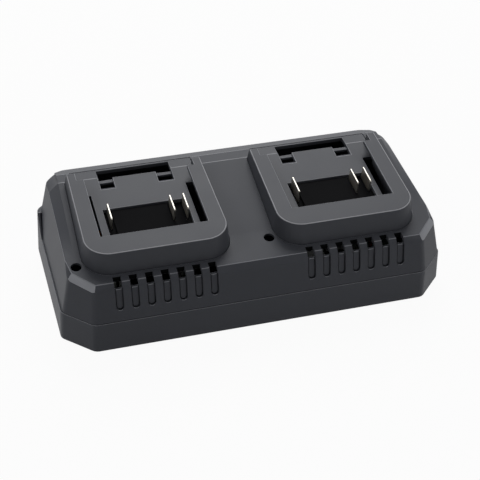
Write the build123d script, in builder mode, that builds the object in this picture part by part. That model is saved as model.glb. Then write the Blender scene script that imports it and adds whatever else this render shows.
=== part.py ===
"""Two-bay battery charger for slide-on cordless tool packs.

Millimetres, +Z up, battery packs slide in from +Y toward -Y.
Origin: middle of the rest plane under the rubber feet.
"""
from build123d import *
from math import radians, sqrt, tan
import os

os.makedirs("parts", exist_ok=True)

# ---------------------------------------------------------------- housing plan
side_margin = 16.6           # from the side of a dock to the foot of the housing's side
front_margin = 14.4          # from the front of the docks to the foot of the front
rear_margin = 20.0           # from the rear end of the docks to the foot of the rear
corner_cut = 14.8            # leg of the 45 degree corner facets
corner_round = 5.0           # radius on the upright edges
wall = 2.4
base_thickness = 2.6
foot_chamfer = 0.3           # round the underside

# ---------------------------------------------------------------- heights
foot_proud = 0.8             # rubber feet stand out under the lower shell
parting_z = 17.4             # joint between the shells, front and sides
rear_parting_z = 26.6        # the lower shell stands higher round the rear
ramp_start_inset = 30.2      # the joint climbs between these two distances from the rear
ramp_end_inset = 18.2
lower_lean = 0.045           # inward lean of the lower walls, per mm of height
upper_lean = 0.20            # inward lean of the upper walls, per mm of height
side_setback = 0.8           # the upper shell sits in from the lower one on the sides
joint_gap = 0.4              # between the two shells at the parting line

# ---------------------------------------------------------------- top surface, seen from the side
deck_front_slope = 0.15
crease_y = -27.0
crease_z = 40.5
ridge_y = 25.8
ridge_z = 50.0
shoulder_y = 33.4
shoulder_z = 49.9
rear_slope = 0.485           # drop per mm behind the shoulder
front_bevel = 2.1
roof_thickness = 2.4

# ---------------------------------------------------------------- sloping strips along both sides
strip_front_inset = 11.1     # inner edge of the strip, from the foot of the side, at the crease
strip_rear_inset = 12.2      # the same at the ridge
strip_low_z = 45.0           # outer edge of the strip beside the ridge
strip_wall = 1.0             # wall left inside the inner edge of the strip

# ---------------------------------------------------------------- docks
dock_spacing = 98.4          # middle of one dock to middle of the other
dock_shift = -0.6            # middle of the pair, from the middle of the housing
dock_half_width = 35.8
dock_front_y = -38.8
dock_rear_y = 24.4           # rear end of the raised side rails
dock_corner_round = 12.0
dock_draft = 0.14            # the outer walls widen downward by this much per mm
dock_top_z = 53.55           # top plane at the middle of the depth
dock_top_slope = 0.098
dock_edge_round = 0.9
dock_floor_z = 47.25         # floor plane at the middle of the depth
dock_floor_slope = 0.1
dock_floor_thickness = 2.2
dock_fit = 0.25              # between a dock and the hole it stands in
channel_half_width = 31.0    # between the walls under the lips
lip_half_width = 27.3        # between the lips
lip_front_y = -26.0
lip_rear_y = 18.4            # the lips stop here, the entry is as wide as the channel
lip_thickness = 1.9
platform_wall = 2.2          # round the hollow under the front platform
flange_width = 1.0           # inner flange that stops the dock under the deck
flange_thickness = 1.8
flange_fit = 0.1
tail_rear_y = 33.2           # the dock floor runs over the ridge and ends here
tail_half_width = 32.3
flush_length = 2.0           # ahead of the ridge, where the floor starts to follow the housing
window_left = 21.2           # terminal window, from the middle of the dock
window_right = 21.9
window_rear_y = 0.7
latch_left = 18.8            # latch slot, from the middle of the dock
latch_right = 20.0
latch_leg_y = 16.1           # front ends of the two legs of the slot
latch_rear_y = 32.0
tongue_left = 11.3
tongue_right = 11.8
tongue_rear_y = 24.8
slit_width = 5.9             # open slits in the floor under the lips
slit_rear_y = 12.5
leg_slope_length = 3.2       # each leg of the latch slot starts with a slope
leg_slope_drop = 1.6
leg_slope_root = 0.7         # the slope is rooted this far in the floor
leg_bar_length = 2.3         # ledge across each leg, beside the end of the tongue
leg_bar_drop = 1.3
leg_bar_thickness = 1.4
ear_reach = 6.4              # screw ears on the side toward the other dock
ear_width = 7.0
ear_places = [-15.0, 12.0]
ear_hole = 2.3

# ---------------------------------------------------------------- terminals
block_below_floor = 2.6      # base of the terminal block, under the floor plane
block_height = 9.0
block_margin = 0.4           # the block is wider than the window by this much on each side
block_front_gap = 0.3
block_rear_y = 4.0
plate_below_floor = 1.0      # raised plate between the blades
plate_left = 17.0
plate_right = 12.2
plate_rear_gap = 0.4
block_ear_thickness = 2.0
block_ear_width = 8.0
block_ear_margin = 2.4       # from the middle of the screw to the end of the ear
block_boss_radius = 2.0
block_boss_y = 7.0
block_boss_places = [-14.0, 14.0]
blade_thickness = 0.8
blade_length = 12.0
blade_front_y = -12.0
blade_above_floor = 4.6
blade_fit = 0.05
blade_tail = 5.0             # solder tail under the block
blade_tail_width = 3.0
blade_places = {"negative": -18.9, "signal": 13.4, "positive": 20.4}

# ---------------------------------------------------------------- vents
vent_count = 7
vent_pitch = 7.96
vent_first_x = -23.3         # middle of the first slot, from the middle of the dock
vent_width = 4.0
vent_reach = 10.2            # from the foot of the front to the rear end of a slot
vent_ledge_z = 34.5
vent_groove_bottom_z = 23.7
vent_panel_depth = 0.9       # the panel in each groove lies this deep
vent_frame_gap = 0.6         # deeper gap round the panel
vent_frame_depth = 1.9

# ---------------------------------------------------------------- status lights
light_gap = 5.3              # from the side of the dock's top to the middle of the light
light_setback = 6.2          # behind the front of the dock's top
light_diameter = 5.2
light_fit = 0.15
light_recess = 0.5
light_hole_depth = 9.0
light_stem_diameter = 3.8
light_head = 5.0             # length of the wide end that fills the hole
light_edge_round = 0.6
light_tab_length = 8.4
light_tab_width = 3.8
light_tab_thickness = 1.2
led_height = 3.4
led_size = 3.0
led_round = 0.75
led_gap = 0.4                # between a light pipe and its LED

# ---------------------------------------------------------------- circuit board
board_side_gap = 8.0         # from the foot of the housing to the edge of the board
board_front_gap = 17.2
board_rear_gap = 22.2
board_thickness = 1.6
board_z = 8.6
standoff_radius = 3.2
board_screw_side_inset = 9.6
board_screw_front_inset = 16.0
board_screw_rear_inset = 5.0
board_hole = 1.4
board_screw_shank = 1.25
board_screw_bite = 4.6

# ---------------------------------------------------------------- fasteners and feet
front_post_side_inset = 22.0     # posts of the upper shell, from the foot of the housing
front_post_inset = 9.8
rear_post_side_inset = 26.6
rear_post_inset = 14.6
post_radius = 2.9
post_seat_z = 16.4           # the posts of the upper shell stand on the bosses here
thread_fit = 0.05            # between a screw and the post or hole it is driven into
hole_end = 0.2               # room under the tip of a screw
roof_boss_radius = 2.1
roof_boss_cover = 0.8        # left above the screw in each roof boss
dock_screw_shank = 1.0
dock_screw_head = 3.0
block_screw_shank = 0.9
block_screw_head = 1.9
block_screw_bite = 5.0
seat_gap = 0.05              # under a screw head
boss_radius = 4.3
boss_bore = 1.7
screw_shank = 1.5
screw_head_radius = 2.9
screw_head_height = 2.0
screw_head_z = 6.0           # seat of the screw head, deep in the boss
screw_bite = 10.0            # thread length in the upper post
screw_fit = 0.2
small_head_radius = 2.6
small_head_height = 1.5
foot_radius = 6.0
foot_pocket = 1.2
foot_edge = 0.4
foot_side_inset = 19.6       # middle of a foot, from the foot of the housing
foot_front_inset = 25.2
foot_rear_inset = 31.2
foot_fit = 0.1

# ---------------------------------------------------------------- mains inlet
inlet_half_width = 10.6
inlet_half_height = 6.4
inlet_z = 14.6
inlet_depth = 17.0
inlet_inset = 0.2            # the inlet's face stands this far inside the rear wall
inlet_round = 1.0
inlet_flange = 1.8           # rim against the inside of the rear wall
inlet_flange_width = 1.6
inlet_recess_depth = 13.0
inlet_recess_radius = 4.1
inlet_pin_spacing = 8.6
inlet_pin_radius = 1.2
inlet_pin_setback = 2.5      # the pins end this far inside the mouth
inlet_foot_inset = 25.2      # from the rear, where the pins turn down to the circuit board
inlet_fit = 0.2

# ---------------------------------------------------------------- transformer
transformer_y = 5.0
core_width = 34.0
core_depth = 12.0
core_height = 22.0
core_leg = 5.0               # outer legs and yokes
core_middle_leg = 10.0
winding_gap = 0.2
bobbin_width = 36.0
bobbin_depth = 26.0
bobbin_height = 2.8
bobbin_chamfer = 1.5

# ---------------------------------------------------------------- parts on the board, places from a dock's middle
part_seat = 0.1              # under a round part that lies on the board
bulk_radius = 9.0
bulk_length = 35.0
bulk_round = 0.8
bulk_place = (7.8, 15.0)
choke_radius = 7.4
choke_wire = 3.4
choke_place = (-21.2, 16.0)
fuse_radius = 2.6
fuse_cap_step = 0.3
fuse_length = 20.0
fuse_cap_length = 5.0
fuse_place = (5.8, 28.0)
film_capacitor_size = (8.0, 18.0, 14.0)
film_capacitor_place = (-37.2, -7.0)
bridge_size = (20.0, 4.0, 14.0)
bridge_place = (-1.2, -16.0)
chip_size = (10.0, 4.0, 1.8)
chip_place = (1.4, -16.0)
moulding_chamfer = 0.5
output_radius = 5.0
output_height = 20.0
output_round = 0.6
output_places = [(-12.6, 14.0), (-0.6, 14.0), (11.4, 14.0)]
sink_thickness = 2.0
sink_length = 24.0
sink_height = 19.0
sink_fin_depth = 3.0
sink_fin_thickness = 1.0
sink_fin_count = 5
sink_gap = 1.0               # between a heat sink and the transformer's bobbin
sink_lead_gap = 2.0          # between a heat sink's fins and the nearest lead
package_size = (4.5, 10.0, 15.0)
package_lift = 3.0
package_leg_pitch = 2.54
package_leg = 0.7

# ---------------------------------------------------------------- leads from the blades to the board
lead_radius = 0.8
lead_drop = 5.5
lead_points = [(-10.5, 19.2), (-17.0, 17.2), (-20.5, 15.6)]     # depth and height of the bends

far = 80.0                   # reach of the cutting tools, past every face


# ================================================================ shared places and outlines
half_length = dock_spacing / 2 + dock_half_width + side_margin
front_y = dock_front_y - front_margin
rear_y = tail_rear_y + rear_margin
shell_bottom = foot_proud
rear_reach = rear_y + far / 4
dock_middles = {"left": dock_shift - dock_spacing / 2, "right": dock_shift + dock_spacing / 2}
ramp_start_y = rear_y - ramp_start_inset
ramp_end_y = rear_y - ramp_end_inset
strip_inner_front_x = half_length - strip_front_inset
strip_inner_rear_x = half_length - strip_rear_inset
light_x = -dock_half_width - light_gap       # from the middle of the dock
light_y = dock_front_y + light_setback
board_half_length = half_length - board_side_gap
board_front_y = front_y + board_front_gap
board_rear_y = rear_y - board_rear_gap
board_top = board_z + board_thickness


def both_sides(x, y):
    """One place and its mirror image on the other side."""
    return [(-x, y), (x, y)]


post_places = both_sides(half_length - front_post_side_inset, front_y + front_post_inset)
post_places += both_sides(half_length - rear_post_side_inset, rear_y - rear_post_inset)
board_screw_x = board_half_length - board_screw_side_inset
board_screw_places = both_sides(board_screw_x, board_front_y + board_screw_front_inset)
board_screw_places += both_sides(board_screw_x, board_rear_y - board_screw_rear_inset)
foot_places = both_sides(half_length - foot_side_inset, front_y + foot_front_inset)
foot_places += both_sides(half_length - foot_side_inset, rear_y - foot_rear_inset)


def lower_inset(z):
    """How far the lower wall has leaned in at height z."""
    return lower_lean * (z - shell_bottom)


def upper_inset(z):
    """How far the upper wall has leaned in at height z."""
    return lower_inset(parting_z) + upper_lean * (z - parting_z)


def wall_x(z):
    """Half width of the upper shell at height z."""
    return half_length - upper_inset(z) - side_setback


def plan_points(inset, setback=0.0):
    """Eight corners of the plan, drawn inward by inset, sides moved in by setback."""
    side_x = half_length - inset - setback
    cut = corner_cut - (2 - sqrt(2)) * inset - setback
    low_y = front_y + inset
    high_y = rear_y - inset
    return [
        (-side_x + cut, low_y),
        (side_x - cut, low_y),
        (side_x, low_y + cut),
        (side_x, high_y - cut),
        (side_x - cut, high_y),
        (-side_x + cut, high_y),
        (-side_x, high_y - cut),
        (-side_x, low_y + cut),
    ]


def deck_height(y):
    """Height of the top surface of the housing at depth y."""
    if y < crease_y:
        return crease_z + deck_front_slope * (y - crease_y)
    if y < ridge_y:
        return crease_z + (ridge_z - crease_z) * (y - crease_y) / (ridge_y - crease_y)
    if y < shoulder_y:
        return ridge_z + (shoulder_z - ridge_z) * (y - ridge_y) / (shoulder_y - ridge_y)
    return shoulder_z - rear_slope * (y - shoulder_y)


def roof_points(drop):
    """Side view of the space above the roof, its lower edge sunk by drop."""
    stations = [-rear_reach, crease_y, ridge_y, shoulder_y, rear_reach]
    line = [(y, deck_height(y) - drop) for y in stations]
    return line + [(rear_reach, far), (-rear_reach, far)]


def dock_top(y):
    """Height of the dock's top plane at depth y."""
    return dock_top_z + dock_top_slope * y


def dock_floor(y):
    """Height of the dock's floor at depth y; past the ridge it follows the housing."""
    level = dock_floor_z + dock_floor_slope * y
    return level if y < ridge_y - flush_length else min(level, deck_height(y))


deck_slope = (ridge_z - crease_z) / (ridge_y - crease_y)
deck_square = sqrt(1 + deck_slope**2)       # height measured upright over height square to the deck


def deck_plane(x, y):
    """Plane that lies on the deck, between the crease and the ridge."""
    return Plane(origin=(x, y, deck_height(y)), x_dir=(1, 0, 0), z_dir=(0, -deck_slope, 1))


def rail_reach(z):
    """How much wider a dock's outer walls stand at height z than at its top plane."""
    return dock_draft * (dock_top_z - z)


def ear_x(side):
    """Middle of a dock's screw ears."""
    toward = 1 if side == "left" else -1
    wall_reach = dock_half_width + rail_reach(crease_z - roof_thickness)
    return dock_middles[side] + toward * (wall_reach + ear_reach / 2)


def side_sketch(points, x):
    """Closed outline given as (y, z) points, on a plane square to X at x."""
    with BuildSketch(Plane.YZ.offset(x)) as sketch:
        Polygon(*points, align=None)
    return sketch.sketch


def plan_sketch(z, inset, setback=0.0, radius=corner_round):
    """The eight-sided plan with rounded corners, at height z."""
    with BuildSketch(Plane.XY.offset(z)) as sketch:
        Polygon(*plan_points(inset, setback), align=None)
        fillet(sketch.vertices(), radius)
    return sketch.sketch


def upright_block(left, right, low_y, high_y, low_z=0.0):
    """Tall block over a rectangle of the plan, from low_z up."""
    return Pos(left, low_y, low_z) * Box(
        right - left,
        high_y - low_y,
        far,
        align=(Align.MIN, Align.MIN, Align.MIN),
        mode=Mode.PRIVATE,
    )


def rail_block(low_z, grow):
    """Solid round a dock's raised rails from low_z up, its walls widening downward, grown by a clearance."""
    plans = []
    for z in (low_z, far):
        reach = grow + rail_reach(z)
        with BuildSketch(Plane.XY.offset(z)) as sketch:
            with Locations((0, dock_front_y - reach)):
                Rectangle(
                    2 * (dock_half_width + reach),
                    dock_rear_y - dock_front_y + 2 * reach,
                    align=(Align.CENTER, Align.MIN),
                )
            fillet(sketch.vertices().group_by(Axis.Y)[0], dock_corner_round + reach)
        plans.append(sketch.sketch)
    return loft(plans, ruled=True, mode=Mode.PRIVATE)


# ================================================================ lower shell
parting_profile = [
    (-rear_reach, parting_z),
    (ramp_start_y, parting_z),
    (ramp_end_y, rear_parting_z),
    (rear_reach, rear_parting_z),
    (rear_reach, far),
    (-rear_reach, far),
]
inner_corner_round = max(corner_round - wall, 0.4)

with BuildPart() as lower_shell:
    chamfer_z = shell_bottom + foot_chamfer
    loft(
        [
            plan_sketch(shell_bottom, foot_chamfer),
            plan_sketch(chamfer_z, lower_inset(chamfer_z)),
            plan_sketch(rear_parting_z, lower_inset(rear_parting_z)),
        ],
        ruled=True,
    )
    floor_z = shell_bottom + base_thickness
    above_rim_z = rear_parting_z + 1
    loft(
        [
            plan_sketch(floor_z, lower_inset(floor_z) + wall, radius=inner_corner_round),
            plan_sketch(above_rim_z, lower_inset(above_rim_z) + wall, radius=inner_corner_round),
        ],
        ruled=True,
        mode=Mode.SUBTRACT,
    )
    extrude(side_sketch(parting_profile, -far * 2), amount=far * 4, mode=Mode.SUBTRACT)
    # screw bosses that carry the posts of the upper shell
    with BuildSketch(Plane.XY.offset(shell_bottom + base_thickness / 2)):
        with Locations(*post_places):
            Circle(boss_radius)
    extrude(amount=post_seat_z - shell_bottom - base_thickness / 2)
    # standoffs under the circuit board
    with BuildSketch(Plane.XY.offset(shell_bottom + base_thickness / 2)):
        with Locations(*board_screw_places):
            Circle(standoff_radius)
    extrude(amount=board_z - shell_bottom - base_thickness / 2)
    with Locations(*[(x, y, board_z) for x, y in board_screw_places]):
        Cylinder(
            board_screw_shank + thread_fit,
            board_screw_bite + hole_end,
            align=(Align.CENTER, Align.CENTER, Align.MAX),
            mode=Mode.SUBTRACT,
        )
    # deep counterbores for the housing screws
    with Locations(*[(x, y, shell_bottom - 1) for x, y in post_places]):
        Cylinder(
            screw_head_radius + screw_fit,
            screw_head_z - shell_bottom + 1,
            align=(Align.CENTER, Align.CENTER, Align.MIN),
            mode=Mode.SUBTRACT,
        )
        Cylinder(boss_bore, far, align=(Align.CENTER, Align.CENTER, Align.MIN), mode=Mode.SUBTRACT)
    # pockets for the rubber feet
    with Locations(*[(x, y, shell_bottom) for x, y in foot_places]):
        Cylinder(
            foot_radius + foot_fit,
            foot_pocket * 2,
            mode=Mode.SUBTRACT,
        )
    # opening for the mains inlet in the rear wall
    with Locations((0, rear_y - wall / 2, inlet_z)):
        Box(
            2 * (inlet_half_width + inlet_fit),
            wall * 3,
            2 * (inlet_half_height + inlet_fit),
            mode=Mode.SUBTRACT,
        )
lower_shell.part.label = "lower_shell"
export_step(lower_shell.part, "parts/lower_shell.step")


# ================================================================ upper shell


def deck_corner(index):
    """Where an upright edge of the upper shell meets the top surface."""
    z = crease_z
    for step in range(4):
        x, y = plan_points(upper_inset(z), side_setback)[index]
        z = deck_height(y)
    return Vector(x, y, z)


def bevel_plane(start, end, start_size, end_size):
    """Plane that takes a bevel off the top edge between two points."""
    low_start = start - Vector(0, 0, start_size)
    low_end = end - Vector(0, 0, end_size)
    along = (low_end - low_start).normalized()
    inward = Vector(-along.Y, along.X, 0).normalized()
    size = (start_size + end_size) / 2
    middle = (start + end) * 0.5 + inward * size
    seat = Vector(middle.X, middle.Y, deck_height(middle.Y))
    normal = along.cross(seat - low_start).normalized()
    return Plane(origin=low_start, x_dir=along, z_dir=normal)


def strip_section(y, outer_z):
    """Section across a side strip: everything above the line from its inner to its outer edge."""
    share = (y - crease_y) / (ridge_y - crease_y)
    inner_x = strip_inner_front_x + (strip_inner_rear_x - strip_inner_front_x) * share
    inner = Vector(inner_x, deck_height(y))
    outer = Vector(wall_x(outer_z), outer_z)
    beyond = inner + (outer - inner) * 4
    with BuildSketch(Plane.XZ.offset(-y)) as sketch:
        Polygon(
            (inner.X, inner.Y),
            (beyond.X, beyond.Y),
            (beyond.X, far),
            (inner.X, far),
            align=None,
        )
    return sketch.sketch


rear_edge_y = rear_y - upper_inset(deck_height(rear_y))
vent_steps = [vent_first_x + vent_pitch * i for i in range(vent_count)]
vent_middles = [middle + step for middle in dock_middles.values() for step in vent_steps]
groove_plane = Plane(
    origin=(0, front_y + upper_inset(parting_z), parting_z),
    x_dir=(1, 0, 0),
    z_dir=Vector(0, -1, upper_lean).normalized(),
)
face_length = sqrt(1 + upper_lean**2)       # measured down the leaning front face, per mm of height
groove_low = (vent_groove_bottom_z - parting_z) * face_length
groove_high = (vent_ledge_z - parting_z) * face_length + vent_width / 2


def vent_grooves(depth, width, low):
    """Grooves with round lower ends in the front face, one for each vent, up into its opening."""
    with BuildSketch(groove_plane.offset(-depth)) as sketch:
        for x in vent_middles:
            with Locations((x, low + width / 2)):
                Circle(width / 2)
                Rectangle(width, groove_high - low - width / 2, align=(Align.CENTER, Align.MIN))
    return extrude(sketch.sketch, amount=2 * depth, mode=Mode.PRIVATE)


with BuildPart() as upper_shell:
    loft(
        [
            plan_sketch(parting_z, upper_inset(parting_z), side_setback),
            plan_sketch(far, upper_inset(far), side_setback),
        ],
        ruled=True,
    )
    extrude(side_sketch(roof_points(0.0), -far * 2), amount=far * 4, mode=Mode.SUBTRACT)
    # bevel along the front, round both corner facets, fading out along the sides
    corners = [deck_corner(index) for index in (7, 0, 1, 2)]
    fade_x = wall_x(crease_z)
    fade_left = Vector(-fade_x, crease_y, crease_z)
    fade_right = Vector(fade_x, crease_y, crease_z)
    bevels = [
        bevel_plane(corners[0], corners[1], front_bevel, front_bevel),
        bevel_plane(corners[1], corners[2], front_bevel, front_bevel),
        bevel_plane(corners[2], corners[3], front_bevel, front_bevel),
        bevel_plane(fade_left, corners[0], 0.0, front_bevel),
        bevel_plane(corners[3], fade_right, front_bevel, 0.0),
    ]
    for plane in bevels:
        with BuildSketch(plane):
            Rectangle(far * 6, far * 2)
        extrude(amount=far, mode=Mode.SUBTRACT)
    # strips that fall away to the sides, beside the docks
    front_strip = loft(
        [strip_section(crease_y, deck_height(crease_y)), strip_section(ridge_y, strip_low_z)],
        ruled=True,
        mode=Mode.PRIVATE,
    )
    rear_strip = loft(
        [strip_section(ridge_y, strip_low_z), strip_section(rear_edge_y, deck_height(rear_edge_y))],
        ruled=True,
        mode=Mode.PRIVATE,
    )
    for strip in (front_strip, rear_strip):
        add(strip, mode=Mode.SUBTRACT)
        add(strip.mirror(Plane.YZ), mode=Mode.SUBTRACT)
upper_outer = upper_shell.part

# the hollow under the roof
with BuildPart() as upper_hollow:
    loft(
        [
            plan_sketch(parting_z - 1, upper_inset(parting_z - 1) + wall, side_setback, inner_corner_round),
            plan_sketch(far, upper_inset(far) + wall, side_setback, inner_corner_round),
        ],
        ruled=True,
    )
    extrude(side_sketch(roof_points(roof_thickness), -far * 2), amount=far * 4, mode=Mode.SUBTRACT)
    # keep material under the side strips
    with BuildSketch(Plane.XZ.offset(-crease_y)):
        with Locations((0, strip_low_z - roof_thickness)):
            Rectangle(4 * far, far, align=(Align.CENTER, Align.MIN))
        with Locations((0, 0)):
            Rectangle(2 * (strip_inner_rear_x - strip_wall), far * 2, mode=Mode.SUBTRACT)
    extrude(amount=-far, mode=Mode.SUBTRACT)

with BuildPart() as upper_shell:
    add(upper_outer)
    add(upper_hollow.part, mode=Mode.SUBTRACT)
    # the lower shell stands higher round the rear, so the upper one is cut back there
    with BuildSketch(Plane.YZ.offset(-far * 2)):
        Polygon(
            (ramp_start_y - joint_gap, 0),
            (ramp_start_y - joint_gap, parting_z),
            (ramp_end_y - joint_gap, rear_parting_z + joint_gap),
            (rear_reach, rear_parting_z + joint_gap),
            (rear_reach, 0),
            align=None,
        )
    extrude(amount=far * 4, mode=Mode.SUBTRACT)
    with BuildSketch(Plane.YZ.offset(-far * 2)):
        with Locations((0, 0)):
            Rectangle(far * 2, parting_z + joint_gap, align=(Align.CENTER, Align.MIN))
    extrude(amount=far * 4, mode=Mode.SUBTRACT)
    # posts for the housing screws
    with BuildSketch(Plane.XY.offset(post_seat_z)):
        with Locations(*post_places):
            Circle(post_radius)
    posts = extrude(amount=far, mode=Mode.PRIVATE)
    add(posts & upper_outer)
    with Locations(*[(x, y, post_seat_z) for x, y in post_places]):
        Cylinder(
            screw_shank + thread_fit,
            screw_bite + 1,
            align=(Align.CENTER, Align.CENTER, Align.MIN),
            mode=Mode.SUBTRACT,
        )
    # roof bosses that stand through the ears of the docks
    for side in dock_middles:
        for y in ear_places:
            top_plane = deck_plane(ear_x(side), y)
            boss_end = (roof_thickness + flange_fit + flange_thickness) / deck_square
            with BuildSketch(top_plane.offset(-boss_end)):
                Circle(roof_boss_radius)
            extrude(amount=boss_end - roof_boss_cover)
            with BuildSketch(top_plane.offset(-boss_end)):
                Circle(dock_screw_shank + thread_fit)
            extrude(amount=boss_end - roof_boss_cover, mode=Mode.SUBTRACT)
    hole_low_z = deck_height(front_y) - roof_thickness
    for middle in dock_middles.values():
        # hole for the dock
        add(Pos(middle, 0, 0) * rail_block(hole_low_z, dock_fit), mode=Mode.SUBTRACT)
        tail_reach = tail_half_width + dock_fit
        tail_hole = upright_block(-tail_reach, tail_reach, 0, tail_rear_y + dock_fit, hole_low_z)
        add(Pos(middle, 0, 0) * tail_hole, mode=Mode.SUBTRACT)
        # hole for the light pipe
        with Locations((middle + light_x, light_y, deck_height(light_y) - light_hole_depth)):
            Cylinder(
                light_diameter / 2 + light_fit,
                far,
                align=(Align.CENTER, Align.CENTER, Align.MIN),
                mode=Mode.SUBTRACT,
            )
    # vents: open over the edge of the deck, then a groove down the front with a panel in it
    for x in vent_middles:
        with Locations((x, front_y + vent_reach, vent_ledge_z)):
            Box(vent_width, far, far, align=(Align.CENTER, Align.MAX, Align.MIN), mode=Mode.SUBTRACT)
    panel_width = vent_width - 2 * vent_frame_gap
    add(
        vent_grooves(vent_frame_depth, vent_width, groove_low)
        - vent_grooves(vent_frame_depth, panel_width, groove_low + vent_frame_gap),
        mode=Mode.SUBTRACT,
    )
    add(vent_grooves(vent_panel_depth, panel_width, groove_low + vent_frame_gap), mode=Mode.SUBTRACT)
upper_shell.part.label = "upper_shell"
export_step(upper_shell.part, "parts/upper_shell.step")


# ================================================================ docks
def floor_line(drop):
    """Side view of the dock's floor, sunk by drop: up to the ridge, then down with the housing."""
    stations = [-far, ridge_y, shoulder_y, far]
    return [(y, dock_floor(y) - drop) for y in stations]


def under_deck(drop):
    """Side view of the deck's underside, sunk by drop, across the length of the docks."""
    stations = [-far, crease_y, ridge_y, shoulder_y, far]
    return [(y, deck_height(y) - roof_thickness - drop) for y in stations]


def above(line):
    """Everything above a side view, across the whole width."""
    outline = line + [(far, far * 2), (-far, far * 2)]
    return extrude(side_sketch(outline, -far), amount=far * 2, mode=Mode.PRIVATE)


def below(line):
    """Everything below a side view, across the whole width."""
    outline = line + [(far, -far), (-far, -far)]
    return extrude(side_sketch(outline, -far), amount=far * 2, mode=Mode.PRIVATE)


def channel_section(low_y, roof_drop):
    """Side view of the channel from low_y to the ridge, from the floor to a line under the top plane."""
    return [
        (low_y, dock_floor(low_y)),
        (ridge_y, dock_floor(ridge_y)),
        (ridge_y, dock_top(ridge_y) - roof_drop),
        (low_y, dock_top(low_y) - roof_drop),
    ]


open_top = -far / 4          # a drop that reaches above the top plane
floor_plane = Plane(origin=(0, 0, dock_floor_z), x_dir=(1, 0, 0), z_dir=(0, -dock_floor_slope, 1))

# raised rails and front platform
with BuildPart() as rails:
    add(rail_block(0.0, 0.0))
    add(above([(-far, dock_top(-far)), (far, dock_top(far))]), mode=Mode.SUBTRACT)
    rim = rails.faces().sort_by(Axis.Z)[-1].edges().sort_by(Axis.Y)[:-1]
    fillet(rim, dock_edge_round)

# hollow under the front platform
with BuildPart() as platform_hollow:
    with BuildSketch() as outline:
        with Locations((0, dock_front_y + platform_wall)):
            Rectangle(
                2 * (dock_half_width - platform_wall),
                dock_rear_y - dock_front_y,
                align=(Align.CENTER, Align.MIN),
            )
        fillet(outline.vertices().group_by(Axis.Y)[0], dock_corner_round - platform_wall)
    extrude(amount=far)
    platform_underside = [(y, dock_top(y) - platform_wall) for y in (-far, far)]
    add(above(platform_underside), mode=Mode.SUBTRACT)
    add(upright_block(-far, far, lip_front_y - platform_wall, far), mode=Mode.SUBTRACT)

with BuildPart() as bare_dock:
    add(rails.part)
    tail = upright_block(-tail_half_width, tail_half_width, lip_front_y, tail_rear_y)
    add(tail - above(floor_line(0.0)))
    add(platform_hollow.part, mode=Mode.SUBTRACT)
    add(below(under_deck(flange_fit + flange_thickness)), mode=Mode.SUBTRACT)
    # room under the floor
    room = upright_block(-channel_half_width, channel_half_width, lip_front_y, far)
    add(room - above(floor_line(dock_floor_thickness)), mode=Mode.SUBTRACT)
    # channel under the lips, opening between them, and the wider entry
    extrude(
        side_sketch(channel_section(lip_front_y, lip_thickness), -channel_half_width),
        amount=2 * channel_half_width,
        mode=Mode.SUBTRACT,
    )
    extrude(
        side_sketch(channel_section(lip_front_y, open_top), -lip_half_width),
        amount=2 * lip_half_width,
        mode=Mode.SUBTRACT,
    )
    extrude(
        side_sketch(channel_section(lip_rear_y, open_top), -channel_half_width),
        amount=2 * channel_half_width,
        mode=Mode.SUBTRACT,
    )
    # flange under the deck along both sides
    flange_band = above(under_deck(flange_fit + flange_thickness)) - above(under_deck(flange_fit))
    flange_length = upright_block(-far, far, crease_y, dock_rear_y - flange_width)
    inside_plan = upright_block(-dock_half_width, dock_half_width, -far, far)
    add((rail_block(0.0, flange_width) & flange_length & flange_band) - inside_plan)
    # terminal window
    add(upright_block(-window_left, window_right, lip_front_y, window_rear_y), mode=Mode.SUBTRACT)
    # open slits under the lips
    slit_top = above(channel_section(lip_front_y, 0.0)[:2])
    for low_x in (-channel_half_width, channel_half_width - slit_width):
        slit = upright_block(low_x, low_x + slit_width, lip_front_y, slit_rear_y)
        add(slit - slit_top, mode=Mode.SUBTRACT)
    # latch slot through the floor, open round the tongue
    slot = upright_block(-latch_left, latch_right, latch_leg_y, latch_rear_y)
    tongue = upright_block(-tongue_left, tongue_right, 0, tongue_rear_y)
    add(slot - tongue, mode=Mode.SUBTRACT)
    # slope at the front of each leg of the slot, and a ledge beside the end of the tongue
    floor_at_leg = dock_floor(latch_leg_y)
    slope_end_y = latch_leg_y + leg_slope_length
    leg_slope = [
        (latch_leg_y - leg_slope_root, floor_at_leg - dock_floor_slope * leg_slope_root),
        (latch_leg_y, floor_at_leg),
        (slope_end_y, floor_at_leg - leg_slope_drop),
        (slope_end_y, floor_at_leg - leg_slope_drop - leg_bar_thickness),
        (latch_leg_y - leg_slope_root, floor_at_leg - dock_floor_thickness),
    ]
    bar_top = dock_floor(tongue_rear_y) - leg_bar_drop
    bar_front_y = tongue_rear_y - leg_bar_length
    leg_bar = [
        (bar_front_y, bar_top),
        (tongue_rear_y, bar_top),
        (tongue_rear_y, bar_top - leg_bar_thickness),
        (bar_front_y, bar_top - leg_bar_thickness),
    ]
    for low_x, high_x in ((-latch_left, -tongue_left), (tongue_right, latch_right)):
        for profile in (leg_slope, leg_bar):
            extrude(side_sketch(profile, low_x), amount=high_x - low_x)
    # bosses that carry the terminal block
    boss_end = block_below_floor + block_height - block_ear_thickness
    for x in block_boss_places:
        with BuildSketch(floor_plane.offset(-boss_end)):
            with Locations((x, block_boss_y)):
                Circle(block_boss_radius)
        extrude(amount=boss_end - dock_floor_thickness / 2)
        with BuildSketch(floor_plane.offset(-boss_end)):
            with Locations((x, block_boss_y)):
                Circle(block_screw_shank + thread_fit)
        extrude(amount=block_screw_bite, mode=Mode.SUBTRACT)

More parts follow.
